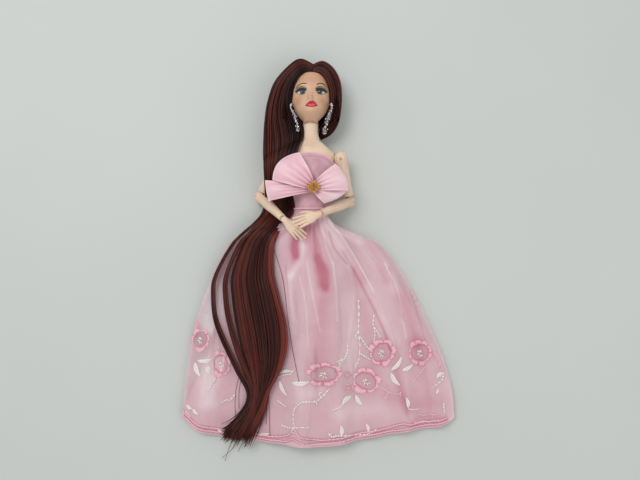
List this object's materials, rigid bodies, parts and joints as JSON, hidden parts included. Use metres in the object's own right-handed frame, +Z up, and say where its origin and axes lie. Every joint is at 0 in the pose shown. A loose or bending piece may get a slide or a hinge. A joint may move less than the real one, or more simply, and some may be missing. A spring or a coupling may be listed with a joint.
{
  "type": "jointed fashion doll",
  "caption": "Jointed fashion doll lying on its back in a bow-fronted satin bodice and a full embroidered organza skirt, its hands crossed at the waist.",
  "frame": {"origin": "on the surface that the doll lies on, under its hips, at the flat underside of the skirt's back panel", "axes": "+X the doll's left, +Y the way its head points, +Z up out of its chest"},
  "size_m": [0.2105, 0.2934, 0.0385],
  "materials": {
    "doll_skin": "satin moulded vinyl",
    "face_vinyl": "soft painted vinyl",
    "joint_plastic": "moulded",
    "pin_steel": "plain",
    "doll_hair": "fine rooted fibre",
    "bodice_satin": "satin",
    "bow_satin": "satin",
    "lining_satin": "satin",
    "organza": "sheer organza with embroidery",
    "gem_gold": "gold coloured",
    "amber_stone": "clear faceted",
    "crystal": "clear faceted on a silver coloured hook",
    "closure_tape": "hook and loop"
  },
  "bodies": {
    "torso": {"torso_front_shell": "doll_skin", "torso_back_shell": "doll_skin", "neck_pin": "pin_steel", "lining_front": "lining_satin", "lining_back": "lining_satin", "overskirt_front": "organza", "overskirt_back": "organza", "bodice_front": "bodice_satin", "bodice_back_right": "bodice_satin", "bodice_back_left": "bodice_satin", "closure_tape": "closure_tape", "bodice_piping": "bodice_satin", "bow_loop_right": "bow_satin", "bow_tail_right": "bow_satin", "bow_loop_left": "bow_satin", "bow_tail_left": "bow_satin", "gem_setting": "gem_gold", "gem_stone": "amber_stone", "hair_fall_upper": "doll_hair", "hair_fall_lower": "doll_hair"},
    "neck": {"neck_knob": "joint_plastic"},
    "head": {"head": "face_vinyl", "hair_crown": "doll_hair", "hair_side_lock": "doll_hair"},
    "left_earring": {"left_earring": "crystal"},
    "left_shoulder_hub": {"left_shoulder_hub": "joint_plastic"},
    "left_upper_arm": {"left_upper_arm": "doll_skin", "left_shoulder_pin": "pin_steel"},
    "left_elbow_link": {"left_elbow_link": "joint_plastic"},
    "left_forearm": {"left_forearm": "doll_skin", "left_elbow_pin": "pin_steel"},
    "left_wrist_link": {"left_wrist_link": "joint_plastic"},
    "left_hand": {"left_hand": "doll_skin", "left_wrist_pin": "pin_steel"},
    "left_hip_hub": {"left_hip_hub": "joint_plastic"},
    "left_thigh": {"left_thigh": "doll_skin", "left_hip_pin": "pin_steel", "left_knee_link": "joint_plastic"},
    "left_shin": {"left_shin": "doll_skin", "left_knee_pin": "pin_steel"},
    "right_earring": {"right_earring": "crystal"},
    "right_shoulder_hub": {"right_shoulder_hub": "joint_plastic"},
    "right_upper_arm": {"right_upper_arm": "doll_skin", "right_shoulder_pin": "pin_steel"},
    "right_elbow_link": {"right_elbow_link": "joint_plastic"},
    "right_forearm": {"right_forearm": "doll_skin", "right_elbow_pin": "pin_steel"},
    "right_wrist_link": {"right_wrist_link": "joint_plastic"},
    "right_hand": {"right_hand": "doll_skin", "right_wrist_pin": "pin_steel"},
    "right_hip_hub": {"right_hip_hub": "joint_plastic"},
    "right_thigh": {"right_thigh": "doll_skin", "right_hip_pin": "pin_steel", "right_knee_link": "joint_plastic"},
    "right_shin": {"right_shin": "doll_skin", "right_knee_pin": "pin_steel"}
  },
  "joints": [
    {"name": "neck_nod", "type": "hinge", "parent": "torso", "child": "neck", "pos_m": [0, 0.0865, 0.0212], "axis": [-1, 0, 0], "range_deg": [-12, 8], "deforming": ["hair_fall_upper", "hair_fall_lower", "hair_side_lock"]},
    {"name": "head_turn", "type": "hinge", "parent": "neck", "child": "head", "pos_m": [0, 0.0865, 0.0212], "axis": [0, 0.9659, -0.2588], "range_deg": [-70, 70]},
    {"name": "left_shoulder_swing", "type": "hinge", "parent": "torso", "child": "left_shoulder_hub", "pos_m": [0.0225, 0.0622, 0.0175], "axis": [-1, 0, 0], "range_deg": [-2, 110], "deforming": ["bow_loop_right", "bow_tail_right", "bow_loop_left", "bow_tail_left"]},
    {"name": "left_shoulder_spread", "type": "hinge", "parent": "left_shoulder_hub", "child": "left_upper_arm", "pos_m": [0.0225, 0.0622, 0.0175], "axis": [0, -0.307, 0.9517], "range_deg": [-4, 80]},
    {"name": "left_elbow_swivel", "type": "hinge", "parent": "left_upper_arm", "child": "left_elbow_link", "pos_m": [0.02973, 0.02941, 0.00692], "axis": [0.2053, -0.9314, -0.3005], "range_deg": [-60, 4]},
    {"name": "left_elbow", "type": "hinge", "parent": "left_elbow_link", "child": "left_forearm", "pos_m": [0.02973, 0.02941, 0.00692], "axis": [-0.7485, 0.0484, -0.6614], "range_deg": [-16, 12]},
    {"name": "left_wrist_swivel", "type": "hinge", "parent": "left_forearm", "child": "left_wrist_link", "pos_m": [0.00613, 0.01895, 0.03287], "axis": [-0.6448, -0.2859, 0.7088], "range_deg": [-45, 45]},
    {"name": "left_wrist", "type": "hinge", "parent": "left_wrist_link", "child": "left_hand", "pos_m": [0.00613, 0.01895, 0.03287], "axis": [0.3755, -0.9262, -0.032], "range_deg": [-30, 12]},
    {"name": "left_hip_swing", "type": "hinge", "parent": "torso", "child": "left_hip_hub", "pos_m": [0.0115, -0.003, 0.0148], "axis": [-1, 0, 0], "range_deg": [-10, 85], "deforming": ["lining_front", "lining_back", "overskirt_front", "overskirt_back"]},
    {"name": "left_hip_spread", "type": "hinge", "parent": "left_hip_hub", "child": "left_thigh", "pos_m": [0.0115, -0.003, 0.0148], "axis": [0, -0.0599, 0.9982], "range_deg": [-2, 25]},
    {"name": "left_knee", "type": "hinge", "parent": "left_thigh", "child": "left_shin", "pos_m": [0.0115, -0.06489, 0.01109], "axis": [1, 0, 0], "range_deg": [0, 100]},
    {"name": "left_earring_swing", "type": "hinge", "parent": "head", "child": "left_earring", "pos_m": [0.0158, 0.1005, 0.0292], "axis": [0.6157, 0, 0.788], "range_deg": [-20, 20]},
    {"name": "right_shoulder_swing", "type": "hinge", "parent": "torso", "child": "right_shoulder_hub", "pos_m": [-0.0225, 0.0622, 0.0175], "axis": [-1, 0, 0], "range_deg": [-2, 4]},
    {"name": "right_shoulder_spread", "type": "hinge", "parent": "right_shoulder_hub", "child": "right_upper_arm", "pos_m": [-0.0225, 0.0622, 0.0175], "axis": [0, 0.3399, -0.9405], "range_deg": [-4, 80]},
    {"name": "right_elbow_swivel", "type": "hinge", "parent": "right_upper_arm", "child": "right_elbow_link", "pos_m": [-0.03905, 0.03298, 0.00694], "axis": [-0.4701, -0.8301, -0.3], "range_deg": [-2, 20]},
    {"name": "right_elbow", "type": "hinge", "parent": "right_elbow_link", "child": "right_forearm", "pos_m": [-0.03905, 0.03298, 0.00694], "axis": [-0.7108, 0.1545, 0.6862], "range_deg": [-12, 12]},
    {"name": "right_wrist_swivel", "type": "hinge", "parent": "right_forearm", "child": "right_wrist_link", "pos_m": [-0.01909, 0.01486, 0.03169], "axis": [0.5453, -0.4952, 0.6763], "range_deg": [-45, 40]},
    {"name": "right_wrist", "type": "hinge", "parent": "right_wrist_link", "child": "right_hand", "pos_m": [-0.01909, 0.01486, 0.03169], "axis": [0.7066, 0.7056, -0.053], "range_deg": [-20, 8]},
    {"name": "right_hip_swing", "type": "hinge", "parent": "torso", "child": "right_hip_hub", "pos_m": [-0.0115, -0.003, 0.0148], "axis": [-1, 0, 0], "range_deg": [-10, 65]},
    {"name": "right_hip_spread", "type": "hinge", "parent": "right_hip_hub", "child": "right_thigh", "pos_m": [-0.0115, -0.003, 0.0148], "axis": [0, 0.0599, -0.9982], "range_deg": [-2, 25]},
    {"name": "right_knee", "type": "hinge", "parent": "right_thigh", "child": "right_shin", "pos_m": [-0.0115, -0.06489, 0.01109], "axis": [1, 0, 0], "range_deg": [0, 100]},
    {"name": "right_earring_swing", "type": "hinge", "parent": "head", "child": "right_earring", "pos_m": [-0.0158, 0.1005, 0.0292], "axis": [-0.6157, 0, 0.788], "range_deg": [-20, 20]}
  ]
}
